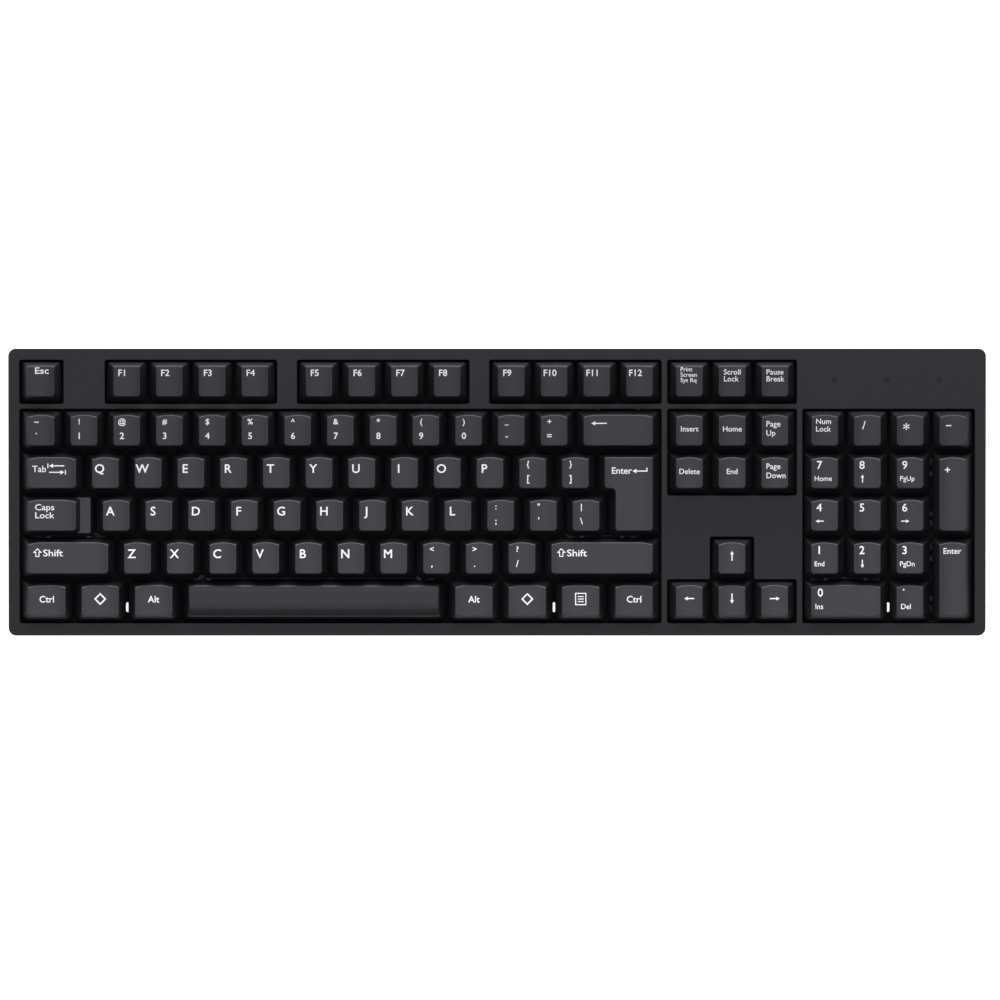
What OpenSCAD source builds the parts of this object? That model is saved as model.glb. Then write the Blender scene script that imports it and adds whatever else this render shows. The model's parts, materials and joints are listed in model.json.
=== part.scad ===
// Full-size mechanical keyboard with 104 keys and a big two-row Enter key.
// +X points right, +Y points to the rear, +Z points up, and the rubber feet stand on z = 0.

/* [Body] */
// Width of the body, left to right
case_w = 436; // [434:1:450]
// Depth of the body, front to rear
case_d = 128; // [128:0.5:134]
// Radius of the four upright corners
case_r = 3.4; // [2:0.2:6]
// Slope of the key deck in degrees
tilt = 4; // [2:0.5:6]
// Height of the mounting plate above the desk at the front edge
front_h = 12; // [12:0.5:16]
// Height of the bezel above the mounting plate
bezel_h = 9.5; // [9:0.1:10.5]
// Thickness of the floor of the bottom case
floor_t = 2; // [1.8:0.1:2.6]
// Room between a block of keys and the edge of its window
window_gap = 0.4; // [0.3:0.05:0.6]

/* [Keys] */
// Gap between the skirts of neighbouring keycaps
key_gap = 1.05; // [0.8:0.05:1.3]
// How far the sides of a keycap lean in at the top
side_inset = 3; // [2.6:0.1:3.2]
// How far the front of a keycap leans in at the top
front_inset = 2.6; // [2:0.1:3]
// How far the rear of a keycap leans in at the top
rear_inset = 1.4; // [1.2:0.1:2]
// Depth of the dish in the top of a keycap
dish = 0.8; // [0.5:0.1:1]
// Wall thickness of a keycap
cap_wall = 1.3; // [1.1:0.05:1.35]

/* [Feet] */
// Thickness of the rubber feet under the floor
rubber_t = 1.2; // [1:0.1:2]
// Width of a folding foot
foot_w = 30; // [24:1:34]
// Length of a folding foot from its hinge to its tip
foot_l = 15; // [12:1:18]
// Distance of the folding feet from the middle
foot_x = 165; // [163:1:166]

/* [Hidden] */
$fn = 48;

// One unit of the key grid
u = 19.05;
// Left edges, in units, of the navigation block and the number pad
nav = 15 + 1/6;
pad = 18 + 1/3;
// Left and front edges of the key grid on the deck
grid_x = -(pad + 4)*u/2;
grid_y = -6.15*u/2 + 0.33;

// The deck is the sloping top of the mounting plate. Its own z = 0 is the plate's top.
deck_y = 0.6;
deck_z = front_h + (case_d/2 + deck_y)*tan(tilt);
plate_t = 1.5;
board_top = -5;
board_t = 1.6;
plate_size = [case_w - 6.8, case_d - 8.4];
plate_y = 0.2;

// Skirt of a keycap above the plate, travel of a key, and inner height of a keycap
cap_z = 6.2;
travel = 4;
cap_room = 5.6;

// Stabilisers: distance from the wire's bar to the sliders, wire radius, height of the bar
arm = u/2;
wire_r = 0.75;
bar_z = 0.85;
swing = asin(travel/2/arm);

// Case screws, rubber feet, drain slots and indicators, as [x, y]
screws = concat(
    [for (x = [-195, -100, 0, 100, 195]) [x, -case_d/2 + 3.1]],
    [for (x = [col_x(1.5), col_x(6.25), col_x(10.75), 141, 205]) [x, case_d/2 - 3.1]]);
pads = [for (x = [-150, 0, 150]) [x, -53], for (x = [-200, 0, 200]) [x, 51]];
drains = [for (c = [2.5, 12.5, pad + 2]) [col_x(c), row_y(0) - 2.7]];
lamps = [for (c = [-1, 0, 1]) [col_x(pad + 2) + c*23.4 - 0.8, row_y(5) + 0.9]];

hinge_y = 50;
hinge_z = rubber_t + 3.4;
usb_x = 114.3;
usb_z = board_top - board_t - 1.6;

case_colour = [0.19, 0.19, 0.20];
key_colour = [0.25, 0.25, 0.27];
white_plastic = [0.85, 0.85, 0.83];

// Places on the key grid. Rows count from the front: 0 is the space bar's, 5 the function keys'.
function col_x(c) = grid_x + c*u;
function row_y(r) = grid_y + (r + 0.5)*u + (r == 5 ? 0.15*u : 0);

// A key is [left edge in units, row, width in units, depth in units]
function run(n, c, r) = [for (i = [0:n-1]) [c + i, r, 1, 1]];
function is_caps(k) = k[0] == 0 && k[1] == 2;
function is_enter(k) = k[0] == 13.5 && k[1] == 2;
function is_space(k) = k[2] > 6;
// Where a key's stem stands: a stepped key and the big Enter carry it off their middle
function stem_x(k) = col_x(is_caps(k) ? 0.625 : is_enter(k) ? 14.375 : k[0] + k[2]/2);
function stem_y(k) = row_y(k[1]) + (k[3] - 1)*u/2;
// Height of the middle of a key's top above its skirt, and its lean, by row
function top_h(k) = is_enter(k) || k[3] == 2 ? 8.8 : [9.0, 8.6, 8.4, 8.8, 9.8, 10.2][k[1]];
function top_lean(k) = k[3] == 2 ? (k[1] == 0 ? -4 : 1.5) : [-9, -7, -1, 3, 7, 9][k[1]];
// Distance of a key's stabilisers from its stem, 0 for none, and their turn
function spread(k) = is_space(k) ? 50 : max(k[2], k[3]) >= 2 ? 11.94 : 0;
function turned(k) = k[3] == 2 ? 90 : 0;

k_escape = run(1, 0, 5);
k_f1 = run(4, 2, 5);
k_f5 = run(4, 6.5, 5);
k_f9 = run(4, 11, 5);
k_print = run(3, nav, 5);
k_numbers = run(13, 0, 4);
k_backspace = [[13, 4, 2, 1]];
k_tab = [[0, 3, 1.5, 1]];
k_upper = run(12, 1.5, 3);
k_caps = [[0, 2, 1.75, 1]];
k_home = run(12, 1.75, 2);
k_enter = [[13.5, 2, 1.5, 2]];
k_left_shift = [[0, 1, 2.25, 1]];
k_lower = run(10, 2.25, 1);
k_right_shift = [[12.25, 1, 2.75, 1]];
k_left_control = [[0, 0, 1.25, 1]];
k_left_super = [[1.25, 0, 1.25, 1]];
k_left_alt = [[2.5, 0, 1.25, 1]];
k_space = [[3.75, 0, 6.25, 1]];
k_right_alt = [[10, 0, 1.25, 1]];
k_right_super = [[11.25, 0, 1.25, 1]];
k_menu = [[12.5, 0, 1.25, 1]];
k_right_control = [[13.75, 0, 1.25, 1]];
k_insert = run(3, nav, 4);
k_delete = run(3, nav, 3);
k_arrows = concat(run(3, nav, 0), run(1, nav + 1, 1));
k_operators = run(4, pad, 4);
k_seven = run(3, pad, 3);
k_four = run(3, pad, 2);
k_one = run(3, pad, 1);
k_zero = [[pad, 0, 2, 1]];
k_point = run(1, pad + 2, 0);
k_plus = [[pad + 3, 2, 1, 2]];
k_pad_enter = [[pad + 3, 0, 1, 2]];

steady_keys = concat(k_backspace, k_enter, k_left_shift, k_right_shift, k_space,
    k_plus, k_pad_enter, k_zero);
all_keys = concat(k_escape, k_f1, k_f5, k_f9, k_print, k_numbers, k_tab, k_upper, k_caps,
    k_home, k_lower, k_left_control, k_left_super, k_left_alt, k_right_alt, k_right_super,
    k_menu, k_right_control, k_insert, k_delete, k_arrows, k_operators, k_seven, k_four,
    k_one, k_point, steady_keys);

// ---- helpers ----

// Puts its children on the sloping deck
module deck() {
    translate([0, deck_y, deck_z]) rotate([tilt, 0, 0]) children();
}

// Puts its children at every key's stem, on the deck
module at_keys(keys) {
    deck() for (k = keys) translate([stem_x(k), stem_y(k), 0]) children();
}

// Puts its children at both stabilisers of every wide key, on the deck, inner side to +X
module at_stabilisers() {
    deck() for (k = steady_keys) translate([stem_x(k), stem_y(k), 0]) rotate(turned(k))
        for (side = [0, 1]) mirror([side, 0, 0]) translate([-spread(k), 0, 0]) children();
}

// A box given by its two corners
module span(a, b) {
    translate(a) cube(b - a);
}

// A rectangle with true round corners
module round_rect(w, d, r) {
    square([w - 2*r, d], center = true);
    square([w, d - 2*r], center = true);
    for (x = [-1, 1], y = [-1, 1]) translate([x*(w/2 - r), y*(d/2 - r)]) circle(r = r);
}

// A bar that leans in on its four sides: [left, right, front, rear] at the bottom and the top
module lean_box(low, high, h) {
    intersection() {
        rotate([90, 0, 0]) linear_extrude(200, center = true)
            polygon([[low[0], 0], [low[1], 0], [high[1], h], [high[0], h]]);
        rotate([90, 0, 90]) linear_extrude(400, center = true)
            polygon([[low[2], 0], [low[3], 0], [high[3], h], [high[2], h]]);
    }
}

// The plus-shaped pin that a keycap sits on, or the hole for it
module cross(grow, z0, z1) {
    linear_extrude(z1 - z0) {
        square([4 + grow, 1.2 + grow], center = true);
        square([1.2 + grow, 4 + grow], center = true);
    }
}

// ---- keys ----

// Outer body of a keycap over the cell [left, right, front, rear], top at height h
module cap_body(cell, h, tall = 3) {
    g = key_gap/2;
    low = cell + [g, -g, g, -g];
    s = (h + dish + tall)/(h + dish);
    lean_box(low, low + [side_inset, -side_inset, front_inset, -rear_inset]*s, h + dish + tall);
}

// Room inside a keycap
module cap_hollow(cell, h) {
    g = key_gap/2 + cap_wall;
    low = cell + [g, -g, g, -g];
    s = (cap_room + 1)/(h + dish);
    translate([0, 0, -1]) lean_box(low, low + [side_inset, -side_inset, front_inset,
        -rear_inset]*s, cap_room + 1);
}

// Cuts the dished top: a trough whose sides curve up at the left and right edges
module dish_cut(cell, h, lean) {
    r = (pow(u/2 - key_gap/2 - side_inset, 2) + dish*dish)/2/dish;
    mid = (cell[0] + cell[1])/2;
    flat = cell[1] - cell[0] - u;
    y = (cell[2] + cell[3] + front_inset - rear_inset)/2;
    translate([mid, y, h]) rotate([lean, 0, 0]) translate([0, 0, r]) {
        for (x = [-1, 1]) translate([x*flat/2, 0, 0]) rotate([90, 0, 0])
            cylinder(r = r, h = 70, center = true, $fn = 96);
        if (flat > 0) cube([flat, 70, 2*r], center = true);
    }
}

// Post under the keycap with the socket for the slider's pin
module cap_post() {
    difference() {
        translate([0, 0, 0.45]) rotate(22.5)
            cylinder(d = 5.5/cos(22.5), h = cap_room, $fn = 8);
        translate([0, 0, -1]) cross(0.1, -1, 10.3 - cap_z);
    }
}

// Hollow dished keycap over one cell
module plain_cap(k, cell) {
    h = top_h(k);
    difference() {
        cap_body(cell, h);
        dish_cut(cell, h, top_lean(k));
        cap_hollow(cell, h);
    }
}

// Keycap with a raised part and a low ledge at its right
module stepped_cap(k) {
    left = -0.625*u;
    step = left + 1.5*u;
    right = left + 1.75*u;
    h = top_h(k);
    difference() {
        union() {
            difference() {
                cap_body([left, step, -u/2, u/2], h);
                dish_cut([left, step, -u/2, u/2], h, top_lean(k));
            }
            intersection() {
                cap_body([left, right, -u/2, u/2], h);
                span([left, -u, 0], [right, u, 4.2]);
            }
        }
        cap_hollow([left, step, -u/2, u/2], h);
        intersection() {
            cap_hollow([left, right, -u/2, u/2], h);
            span([left, -u, -1], [right, u, 2.9]);
        }
    }
}

// The big Enter: a wide rear part and a narrower part that runs over both rows
module enter_cap(k) {
    right = 0.625*u;
    h = top_h(k);
    rear = [right - 1.5*u, right, 0, u];
    long = [-right, right, -u, u];
    difference() {
        union() {
            cap_body(rear, h, 1.4);
            cap_body(long, h, 1.4);
        }
        dish_cut([right - 1.5*u, right, -u, u], h, top_lean(k));
        cap_hollow(rear, h);
        cap_hollow(long, h);
    }
}

// The space bar has a crowned top instead of a dish
module space_cap(k) {
    w = k[2]*u/2;
    cell = [-w, w, -u/2, u/2];
    h = top_h(k);
    difference() {
        intersection() {
            cap_body(cell, h, 0);
            translate([0, 0, h - 17]) rotate([0, 90, 0])
                cylinder(r = 17, h = 200, center = true, $fn = 96);
        }
        cap_hollow(cell, h);
    }
}

module keycap(k) {
    w = k[2]*u/2;
    d = k[3]*u/2;
    if (is_caps(k)) stepped_cap(k);
    else if (is_enter(k)) enter_cap(k);
    else if (is_space(k)) space_cap(k);
    else plain_cap(k, [-w, w, -d, d]);
}

// Slider of a switch: pin, neck, shoulders held under the cover, and a well for the spring
module slider() {
    translate([0, 0, 6]) cross(0, 6, 10.2);
    difference() {
        union() {
            span([-3.5, -3, 5], [3.5, 3, 6.6]);
            span([-4.5, -3.5, 0.6], [4.5, 3.5, 5.4]);
        }
        span([-2.6, -2.6, 0], [2.6, 2.6, 4.4]);
    }
}

// Slider of a stabiliser, with the slot that the wire's leg runs in
module stabiliser_slider() {
    translate([0, 0, 6]) cross(0, 6, 10.2);
    difference() {
        span([-2.8, -4.2, 0.1], [2.8, 4.2, 6.6]);
        span([-1.15, -1.6, 1.1], [1.15, 5, 4.6]);
    }
}

// Keycaps with their sliders, each a solid of its own
module keys(list) {
    color(key_colour) deck() for (k = list) translate([stem_x(k), stem_y(k), 0]) {
        translate([0, 0, cap_z]) {
            keycap(k);
            cap_post();
            if (spread(k) > 0) rotate(turned(k)) for (side = [-1, 1])
                translate([side*spread(k), 0, 0]) cap_post();
        }
        slider();
        if (spread(k) > 0) rotate(turned(k)) for (side = [-1, 1])
            translate([side*spread(k), 0, 0]) stabiliser_slider();
    }
}

module key_escape() keys(k_escape);
module keys_f1_f4() keys(k_f1);
module keys_f5_f8() keys(k_f5);
module keys_f9_f12() keys(k_f9);
module keys_print_scroll_pause() keys(k_print);
module keys_number_row() keys(k_numbers);
module key_backspace() keys(k_backspace);
module key_tab() keys(k_tab);
module keys_upper_letters() keys(k_upper);
module key_caps_lock() keys(k_caps);
module keys_home_letters() keys(k_home);
module key_enter() keys(k_enter);
module key_left_shift() keys(k_left_shift);
module keys_lower_letters() keys(k_lower);
module key_right_shift() keys(k_right_shift);
module key_left_control() keys(k_left_control);
module key_left_super() keys(k_left_super);
module key_left_alt() keys(k_left_alt);
module key_space() keys(k_space);
module key_right_alt() keys(k_right_alt);
module key_right_super() keys(k_right_super);
module key_menu() keys(k_menu);
module key_right_control() keys(k_right_control);
module keys_insert_home_page_up() keys(k_insert);
module keys_delete_end_page_down() keys(k_delete);
module keys_arrows() keys(k_arrows);
module keys_pad_operators() keys(k_operators);
module keys_pad_7_8_9() keys(k_seven);
module keys_pad_4_5_6() keys(k_four);
module keys_pad_1_2_3() keys(k_one);
module key_pad_zero() keys(k_zero);
module key_pad_point() keys(k_point);
module key_pad_plus() keys(k_plus);
module key_pad_enter() keys(k_pad_enter);

// ---- stabiliser wires ----

// U-shaped wire of one wide key: a bar behind the stem and a leg into each slider
module wire(list) {
    k = list[0];
    s = spread(k);
    bend = 2;
    color("silver") deck() translate([stem_x(k), stem_y(k), 0]) rotate(turned(k))
        translate([0, arm, bar_z]) rotate([-swing, 0, 0]) {
            rotate([0, 90, 0]) cylinder(r = wire_r, h = 2*(s - bend), center = true, $fn = 24);
            for (side = [0, 1]) mirror([side, 0, 0]) {
                translate([s - bend, -bend, 0]) rotate_extrude(angle = 90, $fn = 24)
                    translate([bend, 0]) circle(r = wire_r, $fn = 24);
                translate([s, -bend, 0]) rotate([90, 0, 0])
                    cylinder(r = wire_r, h = arm - bend + 0.6, $fn = 24);
            }
        }
}

module backspace_wire() wire(k_backspace);
module enter_wire() wire(k_enter);
module left_shift_wire() wire(k_left_shift);
module right_shift_wire() wire(k_right_shift);
module space_wire() wire(k_space);
module pad_plus_wire() wire(k_plus);
module pad_enter_wire() wire(k_pad_enter);
module pad_zero_wire() wire(k_zero);

// ---- switches and electronics ----

// Lower housings: a box that drops into the plate, a flange on it and a peg into the board
module switch_bases() {
    color([0.12, 0.12, 0.12]) at_keys(all_keys) difference() {
        union() {
            span([-6.95, -6.95, board_top], [6.95, 6.95, 0.2]);
            span([-7.8, -7.8, 0], [7.8, 7.8, 1]);
            translate([0, 0, board_top - 3]) cylinder(r = 1.95, h = 3.1, $fn = 24);
        }
        span([-5.6, -5.6, -4], [5.6, 5.6, 2]);
        for (x = [-3.4, 2.4]) span([x - 0.5, 4.65, -6], [x + 0.5, 5.15, -3]);
    }
}

// Upper housings: tapered covers with the opening that the slider moves in
module switch_covers() {
    color([0.15, 0.15, 0.15]) at_keys(all_keys) difference() {
        translate([0, 0, 1]) lean_box([-7.7, 7.7, -7.7, 7.7], [-5.6, 5.6, -5.8, 5.8], 5.6);
        span([-5.2, -4.7, 0], [5.2, 5.3, 5.6]);
        span([-3.8, -3.3, 5], [3.8, 3.3, 7]);
    }
}

// Return springs, drawn as plain sleeves of the coil's size
module switch_springs() {
    color("silver") at_keys(all_keys) translate([0, 0, -4]) difference() {
        cylinder(r = 2.2, h = 8.4, $fn = 24);
        translate([0, 0, -1]) cylinder(r = 1.8, h = 11, $fn = 24);
    }
}

// Two contact strips a switch, each going down through the base and the board
module switch_contacts() {
    color("gold") at_keys(all_keys) for (x = [-3.4, 2.4])
        span([x - 0.45, 4.7, -8.2], [x + 0.45, 5.1, -0.6]);
}

module stabiliser_housings() {
    color([0.12, 0.12, 0.12]) at_stabilisers() difference() {
        union() {
            span([-3.9, -6, -4.9], [3.9, 6, 5]);
            span([-3.9, -7.2, 0], [3.9, -5, 1]);
            span([2.1, 5, -1.4], [3.9, 10.8, 1.95]);
        }
        span([-3.2, -4.6, -4.1], [3.2, 4.6, 6]);
        span([-1.3, 4, -2.2], [1.3, 7, 6]);
        translate([0, arm, bar_z]) rotate([0, 90, 0])
            cylinder(r = wire_r + 0.05, h = 12, center = true);
    }
}

// Steel plate that holds the switches, with holes for the stabilisers and the drain slots
module mounting_plate() {
    color([0.1, 0.1, 0.11]) difference() {
        deck() difference() {
            translate([0, plate_y, -plate_t]) linear_extrude(plate_t)
                round_rect(plate_size[0], plate_size[1], 2);
            for (k = all_keys) translate([stem_x(k), stem_y(k), 0])
                span([-7, -7, -2], [7, 7, 1]);
            for (p = lamps) translate([p[0], p[1], -2]) cylinder(r = 1.8, h = 3);
        }
        at_stabilisers() span([-3.95, -6.05, -2], [3.95, 10.9, 1]);
        for (p = screws) translate(p) cylinder(r = 3.9, h = 60);
        drain_slots(0);
    }
}

module circuit_board() {
    color([0.05, 0.22, 0.12]) difference() {
        deck() difference() {
            span([-210.5, -56.5, board_top - board_t], [210.5, 57.2, board_top]);
            for (k = all_keys) translate([stem_x(k), stem_y(k), 0]) {
                translate([0, 0, -8]) cylinder(r = 2.15, h = 5, $fn = 24);
                for (x = [-3.4, 2.4]) span([x - 0.7, 4.5, -8], [x + 0.7, 5.3, -4]);
            }
        }
        for (p = screws) translate(p) cylinder(r = 4.2, h = 60);
        drain_slots(1.6);
    }
}

// Straight slots that let spilt water out through the plate, the board and the floor
module drain_slots(grow) {
    for (p = drains) translate([p[0], p[1], -1]) linear_extrude(60) {
        square([1.8 + grow, 2.6 + grow], center = true);
        for (y = [-1, 1]) translate([0, y*1.3 + y*grow/2]) circle(d = 1.8 + grow, $fn = 24);
    }
}

module usb_socket() {
    color("silver") deck() translate([usb_x, 51, usb_z]) rotate([-90, 0, 0]) difference() {
        linear_extrude(7.3) stadium(9, 3.2);
        translate([0, 0, 1]) linear_extrude(9) difference() {
            stadium(8.4, 2.6);
            square([6.7, 0.7], center = true);
        }
    }
}

module stadium(w, h) {
    square([w - h, h], center = true);
    for (x = [-1, 1]) translate([x*(w - h)/2, 0]) circle(d = h);
}

module controller_chip() {
    color([0.08, 0.08, 0.08]) deck() {
        span([88, 14, board_top - board_t - 1.2], [98, 24, board_top - board_t]);
    }
}

module indicator_leds() {
    color("white") deck() for (p = lamps) translate([p[0], p[1], board_top])
        span([-1.6, -0.8, 0], [1.6, 0.8, 1.2]);
}

// Clear light guides from the lamps on the board up to the bezel
module indicator_lenses() {
    color(white_plastic) deck() for (p = lamps) translate([p[0], p[1], 0]) {
        translate([0, 0, -3.4]) cylinder(r = 1.2, h = bezel_h + 3.4 - 0.1);
        translate([0, 0, bezel_h - 3.5]) cylinder(r = 2, h = 1);
    }
}

// ---- body ----

// Window over the cells from column c0 to c1 and row r0 to r1
module window(c0, c1, r0, r1) {
    span([col_x(c0) - window_gap, row_y(r0) - u/2 - window_gap, -1],
        [col_x(c1) + window_gap, row_y(r1) + u/2 + window_gap, 20]);
}

// Hollow under a broad field of the bezel
module field(c0, c1, y0, y1) {
    span([col_x(c0) + window_gap + 1.7, y0, -1], [col_x(c1) - window_gap - 1.7, y1, bezel_h - 2.5]);
}

// Upper half: a frame around the blocks of keys that clamps the plate
module top_case() {
    back = row_y(4) + u/2 + window_gap + 1.8;
    low = row_y(1) - u/2 + window_gap + 1.7;
    mid = row_y(1) + u/2 + window_gap + 1.7;
    color(case_colour) difference() {
        linear_extrude(90) round_rect(case_w, case_d, case_r);
        deck() {
            span([-300, -200, -60], [300, 200, 0]);
            span([-300, -200, bezel_h], [300, 200, 90]);
            window(0, 1, 5, 5);
            window(2, 6, 5, 5);
            window(6.5, 10.5, 5, 5);
            window(11, 15, 5, 5);
            window(nav, nav + 3, 5, 5);
            window(0, 15, 0, 4);
            window(nav, nav + 3, 3, 4);
            window(nav + 1, nav + 2, 0, 1);
            window(nav, nav + 3, 0, 0);
            window(pad, pad + 4, 0, 4);
            for (c = [[1, 2], [6, 6.5], [10.5, 11], [pad, pad + 4]]) field(c[0], c[1], back, 56);
            field(nav - 0.05, nav + 3.05, mid, row_y(2) + u/2 - window_gap - 1.7);
            for (c = [nav, nav + 2]) field(c - 0.02, c + 1.02, low, mid + 1);
            for (p = lamps) translate([p[0], p[1], 0]) cylinder(r = 1.25, h = 20);
            // room for the Backspace key's wire and its clips
            for (k = k_backspace) translate([stem_x(k), stem_y(k), 0])
                span([-16.4, 9, -1], [16.4, 11.2, 2.35]);
        }
        for (p = screws) translate(p) cylinder(r = 1.28, h = screw_end(p) + 0.5);
    }
}

// Height of the parting plane at a screw, and of the screw's tip
function seam_z(p) = deck_z + (p[1] - deck_y)*tan(tilt);
function screw_end(p) = seam_z(p) + 6;

// Lower half: a tray with a step for the plate, screw posts, foot pockets and a socket recess
module bottom_case() {
    color(case_colour) difference() {
        union() {
            difference() {
                translate([0, 0, rubber_t]) linear_extrude(60) round_rect(case_w, case_d, case_r);
                translate([0, 0.75, rubber_t + floor_t]) linear_extrude(60)
                    round_rect(case_w - 11, case_d - 12.5, 2);
                deck() translate([0, plate_y, -plate_t]) linear_extrude(60)
                    round_rect(plate_size[0] + 0.7, plate_size[1] + 0.7, 2);
            }
            intersection() {
                translate([0, 0, rubber_t]) linear_extrude(60) round_rect(case_w, case_d, case_r);
                for (p = screws) translate([p[0], p[1], rubber_t]) cylinder(r = 3.6, h = 60);
            }
            for (side = [-1, 1]) translate([side*foot_x, 0, 0])
                span([-foot_w/2 - 2.4, hinge_y - foot_l - 9, rubber_t + 0.5],
                    [foot_w/2 + 2.4, hinge_y + 5.4, hinge_z + 5.7]);
            span([usb_x - 8.5, 58.4, rubber_t + 0.5], [usb_x + 8.5, case_d/2 - 1, seam_z([0, 58]) - 2]);
            for (p = drains) translate([p[0], p[1], rubber_t])
                linear_extrude(4.4) round_rect(4.6, 7.2, 1.5);
        }
        deck() span([-300, -200, 0], [300, 200, 90]);
        for (p = screws) translate(p) {
            cylinder(r = 1.5, h = 60);
            translate([0, 0, -1]) cylinder(r = 2.4, h = screw_end(p) - 14 + 1);
        }
        for (side = [-1, 1]) translate([side*foot_x, hinge_y, 0]) {
            span([-foot_w/2 - 0.4, -foot_l - 7, -1], [foot_w/2 + 0.4, 3.4, hinge_z + 3.7]);
            translate([0, 0, hinge_z]) rotate([0, 90, 0])
                cylinder(r = 1.55, h = foot_w + 10, center = true);
        }
        span([usb_x - 6.5, 58.5, 8.8], [usb_x + 6.5, 80, 16.2]);
        span([usb_x - 5, 50, 10.4], [usb_x + 5, 60, 14.4]);
        for (p = pads) translate([p[0], p[1], 0]) linear_extrude(rubber_t + 0.8)
            round_rect(22.4, 8.4, 2);
        drain_slots(0);
    }
}

// Screws from below: head in its counterbore, shank up into the top case
module case_screws() {
    color("dimgray") for (p = screws) translate([p[0], p[1], screw_end(p) - 14]) difference() {
        union() {
            cylinder(r = 1.25, h = 14, $fn = 24);
            translate([0, 0, -1.8]) cylinder(r = 2.2, h = 1.8, $fn = 24);
        }
        for (a = [0, 90]) rotate(a) translate([0, 0, -1.5]) cube([2.6, 0.6, 1.4], center = true);
    }
}

module rubber_feet() {
    color([0.06, 0.06, 0.06]) for (p = pads) translate(p)
        linear_extrude(rubber_t + 0.8) round_rect(22, 8, 1.8);
}

// Folding foot at rest in its pocket: barrel, leg with a rounded tip, and two hinge pins
module folding_foot(x) {
    color(case_colour) translate([x, hinge_y, hinge_z]) {
        rotate([0, 90, 0]) cylinder(r = 3, h = foot_w, center = true);
        difference() {
            union() {
                span([-foot_w/2, -foot_l + 2.2, -3], [foot_w/2, 0, 1.4]);
                translate([0, -foot_l + 2.2, -0.8]) rotate([0, 90, 0])
                    cylinder(r = 2.2, h = foot_w, center = true);
            }
            span([-foot_w/2 + 3, -foot_l + 4, 0], [foot_w/2 - 3, -4, 2]);
        }
        for (side = [-1, 1]) translate([side*(foot_w/2 + 1), 0, 0]) rotate([0, 90, 0])
            cylinder(r = 1.5, h = 2.6, center = true);
    }
}

module foot_left() folding_foot(-foot_x);
module foot_right() folding_foot(foot_x);

top_case();
bottom_case();
mounting_plate();
circuit_board();
switch_bases();
switch_covers();
switch_springs();
switch_contacts();
stabiliser_housings();
usb_socket();
controller_chip();
indicator_leds();
indicator_lenses();
rubber_feet();
case_screws();
foot_left();
foot_right();
backspace_wire();
enter_wire();
left_shift_wire();
right_shift_wire();
space_wire();
pad_plus_wire();
pad_enter_wire();
pad_zero_wire();
key_escape();
keys_f1_f4();
keys_f5_f8();
keys_f9_f12();
keys_print_scroll_pause();
keys_number_row();
key_backspace();
key_tab();
keys_upper_letters();
key_caps_lock();
keys_home_letters();
key_enter();
key_left_shift();
keys_lower_letters();
key_right_shift();
key_left_control();
key_left_super();
key_left_alt();
key_space();
key_right_alt();
key_right_super();
key_menu();
key_right_control();
keys_insert_home_page_up();
keys_delete_end_page_down();
keys_arrows();
keys_pad_operators();
keys_pad_7_8_9();
keys_pad_4_5_6();
keys_pad_1_2_3();
key_pad_zero();
key_pad_point();
key_pad_plus();
key_pad_enter();
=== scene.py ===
# %% [markdown]
# # A full-size mechanical keyboard
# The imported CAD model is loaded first. It gives the right size and place of every piece and the
# bodies that move. This script then gives each visible piece its finish, and builds the keycaps,
# their printed legends and the two halves of the body again with the soft edges of moulded plastic.

# %% Load the frame
import json
import math

import bmesh
import bpy
from mathutils import Matrix, Vector


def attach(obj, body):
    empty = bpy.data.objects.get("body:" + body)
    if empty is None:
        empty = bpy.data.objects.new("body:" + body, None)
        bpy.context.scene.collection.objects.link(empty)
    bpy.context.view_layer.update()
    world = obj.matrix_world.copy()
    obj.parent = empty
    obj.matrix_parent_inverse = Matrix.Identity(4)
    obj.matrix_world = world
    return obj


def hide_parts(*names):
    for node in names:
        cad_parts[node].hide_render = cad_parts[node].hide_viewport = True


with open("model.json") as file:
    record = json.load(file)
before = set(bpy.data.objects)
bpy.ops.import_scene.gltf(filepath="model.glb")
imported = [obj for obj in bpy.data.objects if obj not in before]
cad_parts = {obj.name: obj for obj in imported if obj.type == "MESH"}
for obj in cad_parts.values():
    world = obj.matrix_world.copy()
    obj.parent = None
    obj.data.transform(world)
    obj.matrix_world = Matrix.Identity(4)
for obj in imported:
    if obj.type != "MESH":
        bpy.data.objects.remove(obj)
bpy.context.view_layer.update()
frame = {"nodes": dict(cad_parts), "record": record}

nodes = frame["nodes"]

# %% [markdown]
# ## The key grid
# Keys stand on a grid of 19.05 mm. The grid lies on a deck that slopes up to the rear by 4 degrees,
# so every key is drawn flat, in millimetres, on the deck's own axes, and one matrix lifts it to its
# place. A key is written as its left edge in grid units, its row from the front, width and depth.

# %% Grid, deck and rows
UNIT = 19.05
NAV, PAD = 15 + 1 / 6, 18 + 1 / 3
GRID_X = -(PAD + 4) * UNIT / 2
GRID_Y = -6.15 * UNIT / 2 + 0.33
TILT = math.radians(4)
DECK_Z = 12 + 64.6 * math.tan(TILT)
BEZEL = 9.5
SKIRT = 6.2
MM = Matrix.Scale(0.001, 4)
DECK = MM @ Matrix.Translation((0, 0.6, DECK_Z)) @ Matrix.Rotation(TILT, 4, "X")
TOP_H = [9.0, 8.6, 8.4, 8.8, 9.8, 10.2]
TOP_LEAN = [-9, -7, -1, 3, 7, 9]


def col(c):
    return GRID_X + c * UNIT


def row(r):
    return GRID_Y + (r + 0.5) * UNIT + (0.15 * UNIT if r == 5 else 0)


def run(n, c, r):
    return [(c + i, r, 1, 1) for i in range(n)]


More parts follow.
